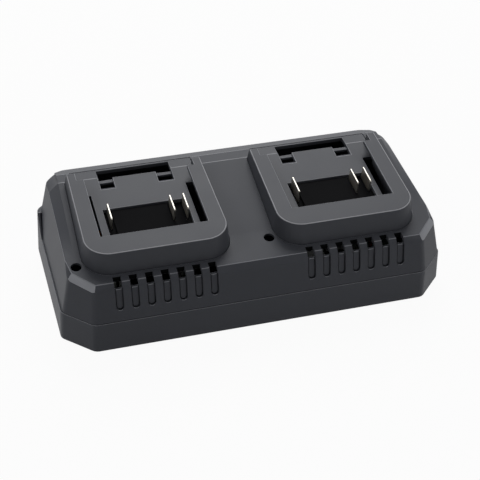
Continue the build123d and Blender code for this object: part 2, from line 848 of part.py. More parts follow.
# an ear reaches from the rail's wall under the top plane to its own outer end
ear_half_length = ear_reach / 2
for side, middle in dock_middles.items():
    ear_middle = ear_x(side) - middle
    with BuildPart() as dock:
        add(bare_dock.part)
        # two screw ears on the side toward the other dock
        for y in ear_places:
            ear = upright_block(-ear_half_length, ear_half_length, y - ear_width / 2, y + ear_width / 2)
            add(Pos(ear_middle, 0, 0) * ear & flange_band)
            with BuildSketch(deck_plane(ear_middle, y)):
                Circle(ear_hole)
            extrude(amount=-far / 8, mode=Mode.SUBTRACT)
    placed = Pos(middle, 0, 0) * dock.part
    placed.label = f"{side}_dock"
    export_step(placed, f"parts/{side}_dock.step")


# ================================================================ terminal blocks and blades
def blade_box(x, low, high, front, rear, grow=0.0):
    """Flat upright bar at x, from low to high along the normal of the floor plane."""
    with BuildPart(mode=Mode.PRIVATE) as bar:
        with BuildSketch(floor_plane.offset(low)):
            with Locations((x, (front + rear) / 2)):
                Rectangle(blade_thickness + 2 * grow, rear - front + 2 * grow)
        extrude(amount=high - low)
    return bar.part


block_bottom = -block_below_floor - block_height
blade_rear_y = blade_front_y + blade_length
tail_front_y = blade_front_y + (blade_length - blade_tail_width) / 2

with BuildPart() as terminal_block:
    with BuildSketch(floor_plane.offset(block_bottom)):
        with Locations((-window_left - block_margin, lip_front_y + block_front_gap)):
            Rectangle(
                window_left + window_right + 2 * block_margin,
                block_rear_y - lip_front_y - block_front_gap,
                align=(Align.MIN, Align.MIN),
            )
    extrude(amount=block_height)
    # raised plate between the blades
    with BuildSketch(floor_plane.offset(-block_below_floor)):
        with Locations((-plate_left, lip_front_y + block_front_gap)):
            Rectangle(
                plate_left + plate_right,
                window_rear_y - plate_rear_gap - lip_front_y - block_front_gap,
                align=(Align.MIN, Align.MIN),
            )
    extrude(amount=block_below_floor - plate_below_floor)
    # ears on the bosses of the dock
    with BuildSketch(floor_plane.offset(block_bottom)):
        with Locations(*[(x, block_rear_y) for x in block_boss_places]):
            Rectangle(
                block_ear_width,
                block_boss_y + block_ear_margin - block_rear_y,
                align=(Align.CENTER, Align.MIN),
            )
    extrude(amount=block_ear_thickness)
    with BuildSketch(floor_plane.offset(block_bottom)):
        with Locations(*[(x, block_boss_y) for x in block_boss_places]):
            Circle(block_screw_shank + screw_fit)
    extrude(amount=block_ear_thickness, mode=Mode.SUBTRACT)
    for x in blade_places.values():
        slot = blade_box(x, block_bottom - 1, 0.0, blade_front_y, blade_rear_y, blade_fit)
        add(slot, mode=Mode.SUBTRACT)

for side, middle in dock_middles.items():
    placed = Pos(middle, 0, 0) * terminal_block.part
    placed.label = f"{side}_terminal_block"
    export_step(placed, f"parts/{side}_terminal_block.step")
    for pole, x in blade_places.items():
        with BuildPart() as blade:
            add(blade_box(x, block_bottom, blade_above_floor, blade_front_y, blade_rear_y))
            chamfer(blade.edges().filter_by(Axis.X).sort_by(Axis.Z)[-2:], blade_thickness / 2)
            tail_rear = tail_front_y + blade_tail_width
            add(blade_box(x, block_bottom - blade_tail, block_bottom, tail_front_y, tail_rear))
        placed = Pos(middle, 0, 0) * blade.part
        placed.label = f"{side}_{pole}_blade"
        export_step(placed, f"parts/{side}_{pole}_blade.step")


# ================================================================ circuit board
pin_places = [-inlet_pin_spacing / 2, inlet_pin_spacing / 2]
inlet_foot_y = rear_y - inlet_foot_inset

with BuildPart() as main_board:
    with BuildSketch(Plane.XY.offset(board_z)):
        with Locations((0, board_front_y)):
            Rectangle(2 * board_half_length, board_rear_y - board_front_y, align=(Align.CENTER, Align.MIN))
        with Locations(*board_screw_places):
            Circle(board_hole, mode=Mode.SUBTRACT)
        with Locations(*[(x, inlet_foot_y) for x in pin_places]):
            Circle(inlet_pin_radius + inlet_fit, mode=Mode.SUBTRACT)
    extrude(amount=board_thickness)
main_board.part.label = "main_board"
export_step(main_board.part, "parts/main_board.step")


# ================================================================ status lights
for side, middle in dock_middles.items():
    light_top = deck_height(light_y) - light_recess
    head_bottom = light_top - light_head
    stem_bottom = board_top + led_height + led_gap
    tab_top = deck_height(light_y - light_tab_length / 2) - roof_thickness - flange_fit
    with BuildPart() as light_pipe:
        with BuildSketch(Plane.XY.offset(head_bottom)):
            with Locations((middle + light_x, light_y)):
                Circle(light_diameter / 2)
        extrude(amount=light_head)
        fillet(light_pipe.faces().sort_by(Axis.Z)[-1].edges(), light_edge_round)
        with BuildSketch(Plane.XY.offset(stem_bottom)):
            with Locations((middle + light_x, light_y)):
                Circle(light_stem_diameter / 2)
        extrude(amount=head_bottom - stem_bottom)
        with BuildSketch(Plane.XY.offset(tab_top - light_tab_thickness)):
            with Locations((middle + light_x, light_y)):
                Rectangle(light_tab_width, light_tab_length)
        extrude(amount=light_tab_thickness)
    light_pipe.part.label = f"{side}_light_pipe"
    export_step(light_pipe.part, f"parts/{side}_light_pipe.step")
    with BuildPart() as status_led:
        with BuildSketch(Plane.XY.offset(board_top)):
            with Locations((middle + light_x, light_y)):
                Rectangle(led_size, led_size)
        extrude(amount=led_height)
        fillet(status_led.faces().sort_by(Axis.Z)[-1].edges(), led_round)
    status_led.part.label = f"{side}_status_led"
    export_step(status_led.part, f"parts/{side}_status_led.step")


# ================================================================ transformer
core_z = board_top + bobbin_height
window_width = (core_width - core_middle_leg) / 2 - core_leg

with BuildPart() as transformer_bobbin:
    with Locations((0, transformer_y, board_top)):
        Box(bobbin_width, bobbin_depth, bobbin_height, align=(Align.CENTER, Align.CENTER, Align.MIN))
    chamfer(transformer_bobbin.edges().filter_by(Axis.Z), bobbin_chamfer)
transformer_bobbin.part.label = "transformer_bobbin"
export_step(transformer_bobbin.part, "parts/transformer_bobbin.step")

with BuildPart() as transformer_core:
    with Locations((0, transformer_y, core_z)):
        Box(core_width, core_depth, core_height, align=(Align.CENTER, Align.CENTER, Align.MIN))
    window_x = (core_middle_leg + window_width) / 2
    for x in (-window_x, window_x):
        with Locations((x, transformer_y, core_z + core_height / 2)):
            Box(window_width, core_depth, core_height - 2 * core_leg, mode=Mode.SUBTRACT)
transformer_core.part.label = "transformer_core"
export_step(transformer_core.part, "parts/transformer_core.step")

with BuildPart() as transformer_winding:
    winding_height = core_height - 2 * core_leg - 2 * winding_gap
    winding_z = core_z + core_leg + winding_gap
    with BuildSketch(Plane.XY.offset(winding_z)) as outline:
        with Locations((0, transformer_y)):
            Rectangle(
                core_middle_leg + 2 * window_width - 2 * winding_gap,
                core_depth + 2 * window_width - 2 * winding_gap,
            )
        fillet(outline.vertices(), window_width / 2)
        with Locations((0, transformer_y)):
            Rectangle(core_middle_leg + 2 * winding_gap, core_depth + 2 * winding_gap, mode=Mode.SUBTRACT)
    extrude(amount=winding_height)
transformer_winding.part.label = "transformer_winding"
export_step(transformer_winding.part, "parts/transformer_winding.step")


# ================================================================ parts on the board
on_board = (Align.CENTER, Align.CENTER, Align.MIN)


def board_place(side, place):
    """Place on the board, given from the middle of one dock."""
    return (dock_middles[side] + place[0], place[1])


bulk_x, bulk_y = board_place("left", bulk_place)
choke_x, choke_y = board_place("left", choke_place)
fuse_x, fuse_y = board_place("left", fuse_place)

with BuildPart() as bulk_capacitor:
    with Locations((bulk_x, bulk_y, board_top + part_seat + bulk_radius)):
        Cylinder(bulk_radius, bulk_length, rotation=(0, 90, 0))
    fillet(bulk_capacitor.edges(), bulk_round)
bulk_capacitor.part.label = "bulk_capacitor"
export_step(bulk_capacitor.part, "parts/bulk_capacitor.step")

with BuildPart() as line_choke:
    with Locations((choke_x, choke_y, board_top + part_seat + choke_wire)):
        Torus(choke_radius, choke_wire)
line_choke.part.label = "line_choke"
export_step(line_choke.part, "parts/line_choke.step")

with BuildPart() as fuse:
    fuse_z = board_top + part_seat + fuse_radius
    with Locations((fuse_x, fuse_y, fuse_z)):
        Cylinder(fuse_radius - fuse_cap_step, fuse_length, rotation=(0, 90, 0))
    cap_shift = (fuse_length - fuse_cap_length) / 2
    with Locations((fuse_x - cap_shift, fuse_y, fuse_z), (fuse_x + cap_shift, fuse_y, fuse_z)):
        Cylinder(fuse_radius, fuse_cap_length, rotation=(0, 90, 0))
fuse.part.label = "fuse"
export_step(fuse.part, "parts/fuse.step")

box_parts = {
    "film_capacitor": (film_capacitor_size, board_place("left", film_capacitor_place)),
    "bridge_rectifier": (bridge_size, board_place("left", bridge_place)),
    "control_chip": (chip_size, board_place("right", chip_place)),
}
for name, (size, place) in box_parts.items():
    with BuildPart() as box_part:
        with Locations((*place, board_top)):
            Box(*size, align=on_board)
        chamfer(box_part.faces().sort_by(Axis.Z)[-1].edges(), moulding_chamfer)
    box_part.part.label = name
    export_step(box_part.part, f"parts/{name}.step")

# a heat sink ahead of the transformer on each side, with the power part screwed flat on its inner face
sink_y = transformer_y - bobbin_depth / 2 - sink_gap - sink_length / 2
sink_depth = sink_thickness / 2 + sink_fin_depth + sink_lead_gap + lead_radius
fin_pitch = (sink_length - sink_fin_thickness) / (sink_fin_count - 1)
for sink_name, package_name, side, nearest_lead_x in (
    ("input_heat_sink", "switching_transistor", -1, dock_middles["left"] + blade_places["positive"]),
    ("output_heat_sink", "output_diode", 1, dock_middles["right"] + blade_places["negative"]),
):
    sink_x = nearest_lead_x - side * sink_depth
    inner_face_x = sink_x - side * sink_thickness / 2
    fin_x = sink_x + side * (sink_thickness + sink_fin_depth) / 2
    with BuildPart() as heat_sink:
        with Locations((sink_x, sink_y, board_top)):
            Box(sink_thickness, sink_length, sink_height, align=on_board)
        for i in range(sink_fin_count):
            fin_y = sink_y + fin_pitch * (i - (sink_fin_count - 1) / 2)
            with Locations((fin_x, fin_y, board_top)):
                Box(sink_fin_depth, sink_fin_thickness, sink_height, align=on_board)
    heat_sink.part.label = sink_name
    export_step(heat_sink.part, f"parts/{sink_name}.step")
    package_x = inner_face_x - side * package_size[0] / 2
    with BuildPart() as package:
        with Locations((package_x, sink_y, board_top + package_lift)):
            Box(*package_size, align=on_board)
        for i in (-1, 0, 1):
            with Locations((package_x, sink_y + i * package_leg_pitch, board_top)):
                Box(package_leg, package_leg, package_lift, align=on_board)
    package.part.label = package_name
    export_step(package.part, f"parts/{package_name}.step")

with BuildPart() as output_capacitors:
    with Locations(*[(*board_place("right", place), board_top) for place in output_places]):
        Cylinder(output_radius, output_height, align=on_board)
    fillet(output_capacitors.edges().group_by(Axis.Z)[-1], output_round)
output_capacitors.part.label = "output_capacitors"
export_step(output_capacitors.part, "parts/output_capacitors.step")


# ================================================================ leads from the blades to the board
tail_end = (0, tail_front_y + blade_tail_width / 2, block_bottom - blade_tail)
lead_start = floor_plane.from_local_coords(tail_end)
lead_below = lead_start - floor_plane.z_dir * lead_drop
lead_route = [
    (lead_start.Y, lead_start.Z),
    (lead_below.Y, lead_below.Z),
    *lead_points,
    (lead_points[-1][0], board_top),
]


def bend_radii(points):
    """Radius for each bend, as large as the two runs beside it allow."""
    radii = []
    for before, here, after in zip(points, points[1:], points[2:]):
        run_in = Vector(*here) - Vector(*before)
        run_out = Vector(*after) - Vector(*here)
        turn = run_in.get_angle(run_out)
        shorter = min(run_in.length, run_out.length)
        radii.append(0.45 * shorter / tan(radians(turn / 2)))
    return radii


print("bends of the leads:", [round(radius, 1) for radius in bend_radii(lead_route)])
for side, middle in dock_middles.items():
    for pole, x in blade_places.items():
        with BuildPart() as lead:
            with BuildLine(Plane.YZ.offset(middle + x)) as route:
                FilletPolyline(*lead_route, radius=bend_radii(lead_route))
            with BuildSketch(Plane(origin=route.line @ 0, z_dir=route.line % 0)):
                Circle(lead_radius)
            sweep()
        lead.part.label = f"{side}_{pole}_lead"
        export_step(lead.part, f"parts/{side}_{pole}_lead.step")


# ================================================================ mains inlet
inlet_face_y = rear_y - lower_inset(inlet_z) - inlet_inset
inlet_mouth_plane = Plane(origin=(0, inlet_face_y, inlet_z), x_dir=(-1, 0, 0), z_dir=(0, 1, 0))

with BuildPart() as mains_inlet:
    with BuildSketch(inlet_mouth_plane) as outline:
        Rectangle(2 * inlet_half_width, 2 * inlet_half_height)
        fillet(outline.vertices(), inlet_round)
    extrude(amount=-inlet_depth)
    flange_top_z = inlet_z + inlet_half_height + inlet_flange_width
    flange_y = rear_y - lower_inset(flange_top_z) - wall - inlet_fit
    with BuildSketch(Plane(origin=(0, flange_y, inlet_z), x_dir=(-1, 0, 0), z_dir=(0, 1, 0))) as outline:
        Rectangle(
            2 * (inlet_half_width + inlet_flange_width),
            2 * (inlet_half_height + inlet_flange_width),
        )
        fillet(outline.vertices(), inlet_round)
    extrude(amount=-inlet_flange)
    with BuildSketch(inlet_mouth_plane):
        SlotCenterToCenter(inlet_pin_spacing, 2 * inlet_recess_radius)
    extrude(amount=-inlet_recess_depth, mode=Mode.SUBTRACT)
    with BuildSketch(inlet_mouth_plane):
        with Locations(*[(x, 0) for x in pin_places]):
            Circle(inlet_pin_radius + thread_fit)
    extrude(amount=-inlet_depth, mode=Mode.SUBTRACT)
mains_inlet.part.label = "mains_inlet"
export_step(mains_inlet.part, "parts/mains_inlet.step")

with BuildPart() as inlet_pins:
    for x in pin_places:
        with BuildSketch(Plane(origin=(x, inlet_foot_y, inlet_z), x_dir=(1, 0, 0), z_dir=(0, 1, 0))):
            Circle(inlet_pin_radius)
        extrude(amount=inlet_face_y - inlet_pin_setback - inlet_foot_y)
        with BuildSketch(Plane.XY.offset(board_z)):
            with Locations((x, inlet_foot_y)):
                Circle(inlet_pin_radius)
        extrude(amount=inlet_z - board_z)
        with Locations((x, inlet_foot_y, inlet_z)):
            Sphere(inlet_pin_radius)
inlet_pins.part.label = "inlet_pins"
export_step(inlet_pins.part, "parts/inlet_pins.step")


# ================================================================ feet and screws
with BuildPart() as rubber_feet:
    with Locations(*[(x, y, 0) for x, y in foot_places]):
        Cylinder(foot_radius, foot_proud + foot_pocket, align=on_board)
    chamfer(rubber_feet.edges().group_by(Axis.Z)[0], foot_edge)
rubber_feet.part.label = "rubber_feet"
export_step(rubber_feet.part, "parts/rubber_feet.step")


def screw(seat, head_radius, head_height, shank_radius, shank_length):
    """Pan head screw: the head's flat face lies on its seat, the shank points along the seat's normal."""
    with BuildPart(mode=Mode.PRIVATE) as body:
        with BuildSketch(seat.offset(-head_height)):
            Circle(head_radius)
            RegularPolygon(head_radius / 2, 6, mode=Mode.SUBTRACT)
        extrude(amount=head_height / 2)
        with BuildSketch(seat.offset(-head_height / 2)):
            Circle(head_radius)
        extrude(amount=head_height / 2)
        with BuildSketch(seat):
            Circle(shank_radius)
        extrude(amount=shank_length)
    return body.part


with BuildPart() as housing_screws:
    for x, y in post_places:
        seat = Plane(origin=(x, y, screw_head_z - seat_gap), z_dir=(0, 0, 1))
        shank = post_seat_z + screw_bite - screw_head_z
        add(screw(seat, screw_head_radius, screw_head_height, screw_shank, shank))
housing_screws.part.label = "housing_screws"
export_step(housing_screws.part, "parts/housing_screws.step")

with BuildPart() as board_screws:
    for x, y in board_screw_places:
        seat = Plane(origin=(x, y, board_top + seat_gap), z_dir=(0, 0, -1))
        shank = board_thickness + board_screw_bite
        add(screw(seat, small_head_radius, small_head_height, board_screw_shank, shank))
board_screws.part.label = "board_screws"
export_step(board_screws.part, "parts/board_screws.step")

with BuildPart() as dock_screws:
    for side in dock_middles:
        for y in ear_places:
            drop = (roof_thickness + flange_fit + flange_thickness) / deck_square + seat_gap
            seat = deck_plane(ear_x(side), y).offset(-drop)
            shank = drop - roof_boss_cover - thread_fit
            add(screw(seat, dock_screw_head, small_head_height, dock_screw_shank, shank))
dock_screws.part.label = "dock_screws"
export_step(dock_screws.part, "parts/dock_screws.step")

with BuildPart() as block_screws:
    for middle in dock_middles.values():
        for x in block_boss_places:
            origin = floor_plane.from_local_coords((x, block_boss_y, block_bottom - seat_gap))
            seat = Plane(origin=origin + Vector(middle, 0, 0), x_dir=(1, 0, 0), z_dir=floor_plane.z_dir)
            shank = block_ear_thickness + block_screw_bite - thread_fit
            add(screw(seat, block_screw_head, small_head_height, block_screw_shank, shank))
block_screws.part.label = "block_screws"
export_step(block_screws.part, "parts/block_screws.step")
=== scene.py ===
from math import cos, pi, radians, sin

import bmesh
import bpy
import numpy as np
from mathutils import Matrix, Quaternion, Vector


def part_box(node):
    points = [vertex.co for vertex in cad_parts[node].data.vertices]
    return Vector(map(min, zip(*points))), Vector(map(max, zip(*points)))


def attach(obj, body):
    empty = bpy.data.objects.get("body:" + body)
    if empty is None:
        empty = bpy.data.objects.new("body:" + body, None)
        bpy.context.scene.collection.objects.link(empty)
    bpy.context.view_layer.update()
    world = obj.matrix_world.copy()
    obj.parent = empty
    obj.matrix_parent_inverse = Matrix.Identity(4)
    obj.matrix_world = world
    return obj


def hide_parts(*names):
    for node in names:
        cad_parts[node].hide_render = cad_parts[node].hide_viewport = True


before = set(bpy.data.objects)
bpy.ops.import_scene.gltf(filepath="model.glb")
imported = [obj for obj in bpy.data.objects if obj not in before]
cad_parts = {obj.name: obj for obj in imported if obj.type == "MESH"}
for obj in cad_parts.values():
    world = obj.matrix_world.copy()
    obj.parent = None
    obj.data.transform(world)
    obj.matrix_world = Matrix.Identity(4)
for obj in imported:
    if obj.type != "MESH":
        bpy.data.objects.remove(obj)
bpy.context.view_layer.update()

scene = bpy.context.scene
scene.view_settings.view_transform = "Standard"
millimetre = 0.001

# ---------------------------------------------------------------- camera
# A long lens from the front left, looking down on the docks. The camera is turned a little about its
# own axis, as one that is levelled by hand.
camera_place = Vector((-153.9, -515.0, 423.3)) * millimetre
camera_azimuth = radians(16.85)
camera_elevation = radians(37.19)
camera_roll = radians(1.607)
camera_lens = 94.5
camera_film_width = 36
view_direction = Vector((
    sin(camera_azimuth) * cos(camera_elevation),
    cos(camera_azimuth) * cos(camera_elevation),
    -sin(camera_elevation),
))
camera_data = bpy.data.cameras.new("camera")
camera_data.lens = camera_lens
camera_data.sensor_width = camera_film_width
camera = bpy.data.objects.new("camera", camera_data)
scene.collection.objects.link(camera)
camera.rotation_mode = "QUATERNION"
camera.rotation_quaternion = view_direction.to_track_quat("-Z", "Y") @ Quaternion((0, 0, 1), camera_roll)
camera.location = camera_place
scene.camera = camera


# ---------------------------------------------------------------- floor and light
# A white paper sheet under the charger, a white room and three soft boxes. The sheet keeps the
# charger's shadow, and the camera, reflections and clear parts see sheet and room as white.
def linear(hex_colour):
    """sRGB hex value to linear RGBA: the sRGB curve, channel by channel."""
    channels = [int(hex_colour[i:i + 2], 16) / 255 for i in (1, 3, 5)]
    return [c / 12.92 if c <= 0.04045 else ((c + 0.055) / 1.055) ** 2.4 for c in channels] + [1.0]


def add_node(tree, kind, settings=None, links=None):
    """Adds one node: settings are its properties and socket values, links go from other nodes' sockets."""
    node = tree.nodes.new(kind)
    for name, value in (settings or {}).items():
        if isinstance(name, int) or name in node.inputs:
            node.inputs[name].default_value = value
        else:
            setattr(node, name, value)
    for name, source in (links or {}).items():
        tree.links.new(source, node.inputs[name])
    return node


def new_material(name):
    """A material with an empty node tree, and that tree."""
    material = bpy.data.materials.new(name)
    material.use_nodes = True
    material.node_tree.nodes.clear()
    return material, material.node_tree


def backdrop_share(tree):
    """1 where the ray comes from the camera, a reflection or clear plastic, 0 where it only carries light."""
    path = add_node(tree, "ShaderNodeLightPath")
    reflected = add_node(tree, "ShaderNodeMath", {"operation": "ADD", "use_clamp": True},
                         {0: path.outputs["Is Camera Ray"], 1: path.outputs["Is Glossy Ray"]})
    seen = add_node(tree, "ShaderNodeMath", {"operation": "ADD", "use_clamp": True},
                    {0: reflected.outputs[0], 1: path.outputs["Is Transmission Ray"]})
    return seen.outputs[0]


def soft_box(name, place, size, power):
    """Square area lamp at a place, facing the middle of the charger."""
    charger_middle = Vector((0, 0, 0.03))
    lamp = bpy.data.lights.new(name, "AREA")
    lamp.size = size
    lamp.energy = power
    lamp_object = bpy.data.objects.new(name, lamp)
    scene.collection.objects.link(lamp_object)
    lamp_object.location = place
    lamp_object.rotation_mode = "QUATERNION"
    lamp_object.rotation_quaternion = (charger_middle - Vector(place)).to_track_quat("-Z", "Y")


sheet_half = 3.0
white_share = 0.95              # the rest of the sheet's colour is lit paper, which takes the shadow
floor_mesh = bpy.data.meshes.new("floor")
floor_mesh.from_pydata(
    [(x * sheet_half, y * sheet_half, 0) for x, y in ((-1, -1), (1, -1), (1, 1), (-1, 1))],
    [],
    [(0, 1, 2, 3)],
)
floor = bpy.data.objects.new("floor", floor_mesh)
scene.collection.objects.link(floor)
sheet_material, tree = new_material("white_paper_sheet")
share = add_node(tree, "ShaderNodeMath", {"operation": "MULTIPLY", 1: white_share}, {0: backdrop_share(tree)})
paper = add_node(tree, "ShaderNodeBsdfDiffuse", {"Color": linear("#e9e9e9")})
glow = add_node(tree, "ShaderNodeEmission", {"Color": linear("#ffffff"), "Strength": 1.0})
both = add_node(tree, "ShaderNodeMixShader",
                links={0: share.outputs[0], 1: paper.outputs[0], 2: glow.outputs[0]})
add_node(tree, "ShaderNodeOutputMaterial", links={"Surface": both.outputs[0]})
floor_mesh.materials.append(sheet_material)

world = bpy.data.worlds.new("studio")
scene.world = world
world.use_nodes = True
tree = world.node_tree
tree.nodes.clear()
room = add_node(tree, "ShaderNodeBackground", {"Color": linear("#ffffff"), "Strength": 0.1})
backdrop = add_node(tree, "ShaderNodeBackground", {"Color": linear("#ffffff"), "Strength": 1.0})
both = add_node(tree, "ShaderNodeMixShader",
                links={0: backdrop_share(tree), 1: room.outputs[0], 2: backdrop.outputs[0]})
add_node(tree, "ShaderNodeOutputWorld", links={"Surface": both.outputs[0]})

soft_box("high_back_box", place=(0.25, 1.0, 1.15), size=0.9, power=12.6)
soft_box("left_box", place=(-1.0, 0.05, 0.95), size=0.5, power=2.6)
soft_box("right_box", place=(1.1, -0.6, 0.6), size=0.7, power=2.0)


# ---------------------------------------------------------------- housing
# The two shells are injection moulded ABS in black-grey. The mould is spark-eroded, which leaves a
# fine grain that breaks up the reflections. The real grain is about 0.1 mm and wouldn't show, so it
# is drawn 0.55 mm wide. Outer edges come out slightly round, and their lighter colour is painted highlight.
def moulded_finish(name, colour, roughness, grain_size, grain_height,
                   colour_change=0.06, shine=0.22, rim=None):
    """Moulded, cast or glazed part: colour and gloss drift in soft clouds, and a fine grain roughens it.
    A rim, given as colour, slope and height, colours what lies above the plane z = height + slope * y
    and turns over from level to upright there."""
    material, tree = new_material(name)
    cloud_size, gloss_change = 20, 0.05
    place = add_node(tree, "ShaderNodeTexCoord")
    clouds = add_node(tree, "ShaderNodeTexNoise", {"Scale": 1 / (cloud_size * millimetre), "Detail": 3.0},
                      {"Vector": place.outputs["Object"]})
    base = linear(colour)
    darker = [c * (1 - colour_change) for c in base[:3]] + [1.0]
    lighter = [c * (1 + colour_change) for c in base[:3]] + [1.0]
    shade = add_node(tree, "ShaderNodeMix", {"data_type": "RGBA", 6: darker, 7: lighter},
                     {0: clouds.outputs["Fac"]})
    if rim:
        rim_colour, rim_slope, rim_height = rim
        # z of the normal: the rim fades in from steep to leaning and out from nearly level to level
        steep, leaning, nearly_level, level = 0.66, 0.8, 0.975, 0.99
        surface = add_node(tree, "ShaderNodeNewGeometry")
        rise = add_node(tree, "ShaderNodeSeparateXYZ", links={0: surface.outputs["Normal"]})
        turned_up = add_node(tree, "ShaderNodeMapRange", {1: steep, 2: leaning}, {0: rise.outputs["Z"]})
        not_level = add_node(tree, "ShaderNodeMapRange", {1: nearly_level, 2: level, 3: 1.0, 4: 0.0},
                             {0: rise.outputs["Z"]})
        height = add_node(tree, "ShaderNodeVectorMath", {"operation": "DOT_PRODUCT", 1: (0, -rim_slope, 1)},
                          {0: place.outputs["Object"]})
        high = add_node(tree, "ShaderNodeMath", {"operation": "GREATER_THAN", 1: rim_height},
                        {0: height.outputs["Value"]})
        turning = add_node(tree, "ShaderNodeMath", {"operation": "MULTIPLY"},
                           {0: turned_up.outputs[0], 1: not_level.outputs[0]})
        on_rim = add_node(tree, "ShaderNodeMath", {"operation": "MULTIPLY"},
                          {0: turning.outputs[0], 1: high.outputs[0]})
        shade = add_node(tree, "ShaderNodeMix", {"data_type": "RGBA", 7: linear(rim_colour)},
                         {0: on_rim.outputs[0], 6: shade.outputs[2]})
    gloss = add_node(tree, "ShaderNodeMapRange", {3: roughness - gloss_change, 4: roughness + gloss_change},
                     {0: clouds.outputs["Fac"]})
    grain = add_node(tree, "ShaderNodeTexNoise",
                     {"Scale": 1 / (grain_size * millimetre), "Detail": 3.0, "Roughness": 0.6},
                     {"Vector": place.outputs["Object"]})
    bump = add_node(tree, "ShaderNodeBump", {"Strength": 0.6, "Distance": grain_height * millimetre},
                    {"Height": grain.outputs["Fac"]})
    shader = add_node(tree, "ShaderNodeBsdfPrincipled", {"IOR": 1.46, "Specular IOR Level": shine},
                      {"Base Color": shade.outputs[2], "Roughness": gloss.outputs[0],
                       "Normal": bump.outputs["Normal"]})
    add_node(tree, "ShaderNodeOutputMaterial", links={"Surface": shader.outputs[0]})
    return material


def rounded_piece(node_name, piece_name, edge_round, material, edge_material, openings_too=True):
    """The node's own shape, its triangles merged and joined where flat. The outer edges of the faces that
    look up are rounded and take the edge material, which on the shells and docks is a painted highlight;
    openings with upright walls stay sharp where openings_too is off."""
    merge_distance = 0.06 * millimetre
    flat_turn, soft_turn, sharp_turn = radians(0.3), radians(4), radians(30)
    seen_turn = radians(0.2)        # between two broad faces even this much would show as a smear
    looking_up, upright = 0.8, 0.01         # limits of the normal's z
    broad = 40 * millimetre ** 2
    shape = bmesh.new()
    shape.from_mesh(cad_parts[node_name].data)
    bmesh.ops.remove_doubles(shape, verts=shape.verts, dist=merge_distance)
    bmesh.ops.dissolve_limit(shape, angle_limit=flat_turn, verts=shape.verts, edges=shape.edges)
    weights = shape.edges.layers.float.new("bevel_weight_edge")
    for face in shape.faces:
        face.smooth = True
        face.material_index = 0
    for edge in shape.edges:
        turn = edge.calc_face_angle(0)
        both_broad = all(face.calc_area() > broad for face in edge.link_faces)
        faces_up = any(face.normal.z > looking_up for face in edge.link_faces)
        at_opening = any(abs(face.normal.z) < upright for face in edge.link_faces)
        rounded = edge.is_convex and faces_up and (openings_too or not at_opening)
        if rounded and (turn > sharp_turn or (turn > soft_turn and both_broad)):
            edge[weights] = 1.0
        elif turn > sharp_turn or (both_broad and turn > seen_turn):
            edge.smooth = False
    mesh = bpy.data.meshes.new(piece_name)
    shape.to_mesh(mesh)
    shape.free()
    mesh.materials.append(material)
    mesh.materials.append(edge_material)
    piece = bpy.data.objects.new(piece_name, mesh)
    scene.collection.objects.link(piece)
    bevel = piece.modifiers.new("mould_round", "BEVEL")
    bevel.limit_method = "WEIGHT"
    bevel.width = edge_round * millimetre
    bevel.segments = 2
    bevel.use_clamp_overlap = False
    bevel.material = 1
    flat_faces = piece.modifiers.new("flat_faces", "WEIGHTED_NORMAL")
    flat_faces.mode = "FACE_AREA"
    flat_faces.weight = 100
    flat_faces.keep_sharp = True
    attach(piece, "root")
    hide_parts(node_name)
    return piece


shell_edge_round = 0.25
grained_abs = moulded_finish("spark_grained_abs", "#47494f", roughness=0.5,
                             grain_size=0.55, grain_height=0.05)
# Lighter colour of the rounded edges: a painted highlight.
abs_edge_highlight = moulded_finish("abs_painted_highlight_on_edges", "#8c8e94", roughness=0.36,
                          grain_size=0.55, grain_height=0.02)
rounded_piece("lower_shell", "lower_shell_moulding", shell_edge_round, grained_abs, abs_edge_highlight,
              openings_too=False)
cover = rounded_piece("upper_shell", "upper_shell_moulding", shell_edge_round, grained_abs, abs_edge_highlight,
                      openings_too=False)

# The upright walls of the vents are painted near black as painted shade, and the bevels over the two cut
# front corners get a painted highlight. Both are picked out by where their faces lie and which way they look.
# Near-black colour of the vent walls: painted shade.
cover.data.materials.append(moulded_finish("abs_painted_shade_inside_the_vents", "#0e0f10", roughness=0.85,
                                           grain_size=0.55, grain_height=0.05, shine=0.05))
# Light colour of the corner bevels: a painted highlight.
cover.data.materials.append(moulded_finish("abs_painted_highlight_on_corners", "#a9abb1", roughness=0.36,
                                           grain_size=0.55, grain_height=0.02))
vent_shade_index, corner_highlight_index = 2, 3
# Each vent slot is open above its ledge, and ends within this reach of the front.
vent_ledge, vent_reach = 34.5, 11
vent_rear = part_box("upper_shell")[0][1] / millimetre + vent_reach
largest_vent_wall = 40 * millimetre ** 2
least_rise, most_rise, least_turn, square = 0.45, 0.85, 0.3, 0.99      # limits of the normals
facing_x, facing_y, facing_z = np.array([face.normal for face in cover.data.polygons]).T
middle = np.array([face.center for face in cover.data.polygons]) / millimetre
small = np.array([face.area for face in cover.data.polygons]) < largest_vent_wall
leaning = (facing_z > least_rise) & (facing_z < most_rise)
on_corner = leaning & (np.abs(facing_x) > least_turn) & (facing_y < -least_turn)
square_on = np.maximum(np.abs(facing_x), np.abs(facing_y)) > square
in_vents = small & square_on & (middle[:, 2] > vent_ledge) & (middle[:, 1] < vent_rear)
cover.data.polygons.foreach_set("material_index", in_vents * vent_shade_index + on_corner * corner_highlight_index)


# ---------------------------------------------------------------- docks
# Each dock is one glass-filled nylon moulding, screwed to the cover from below. It carries the
# battery pack, so it is harder and a little smoother than the housing. The rim of its sloping top
# is a thin light line of painted highlight, and its rounded edges are painted lighter as highlight too.
dock_edge_round = 0.3
dock_top_slope = 0.098
dock_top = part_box("left_dock")[1][2] - dock_top_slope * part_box("left_dock")[1][1]
rim_depth = 2 * millimetre
# The rim colour is a painted highlight along the rounded rim of the top.
dock_nylon = moulded_finish("glass_filled_nylon", "#4a4c52", roughness=0.46,
                            grain_size=0.45, grain_height=0.035, colour_change=0.05,
                            rim=("#b4b5ba", dock_top_slope, dock_top - rim_depth))
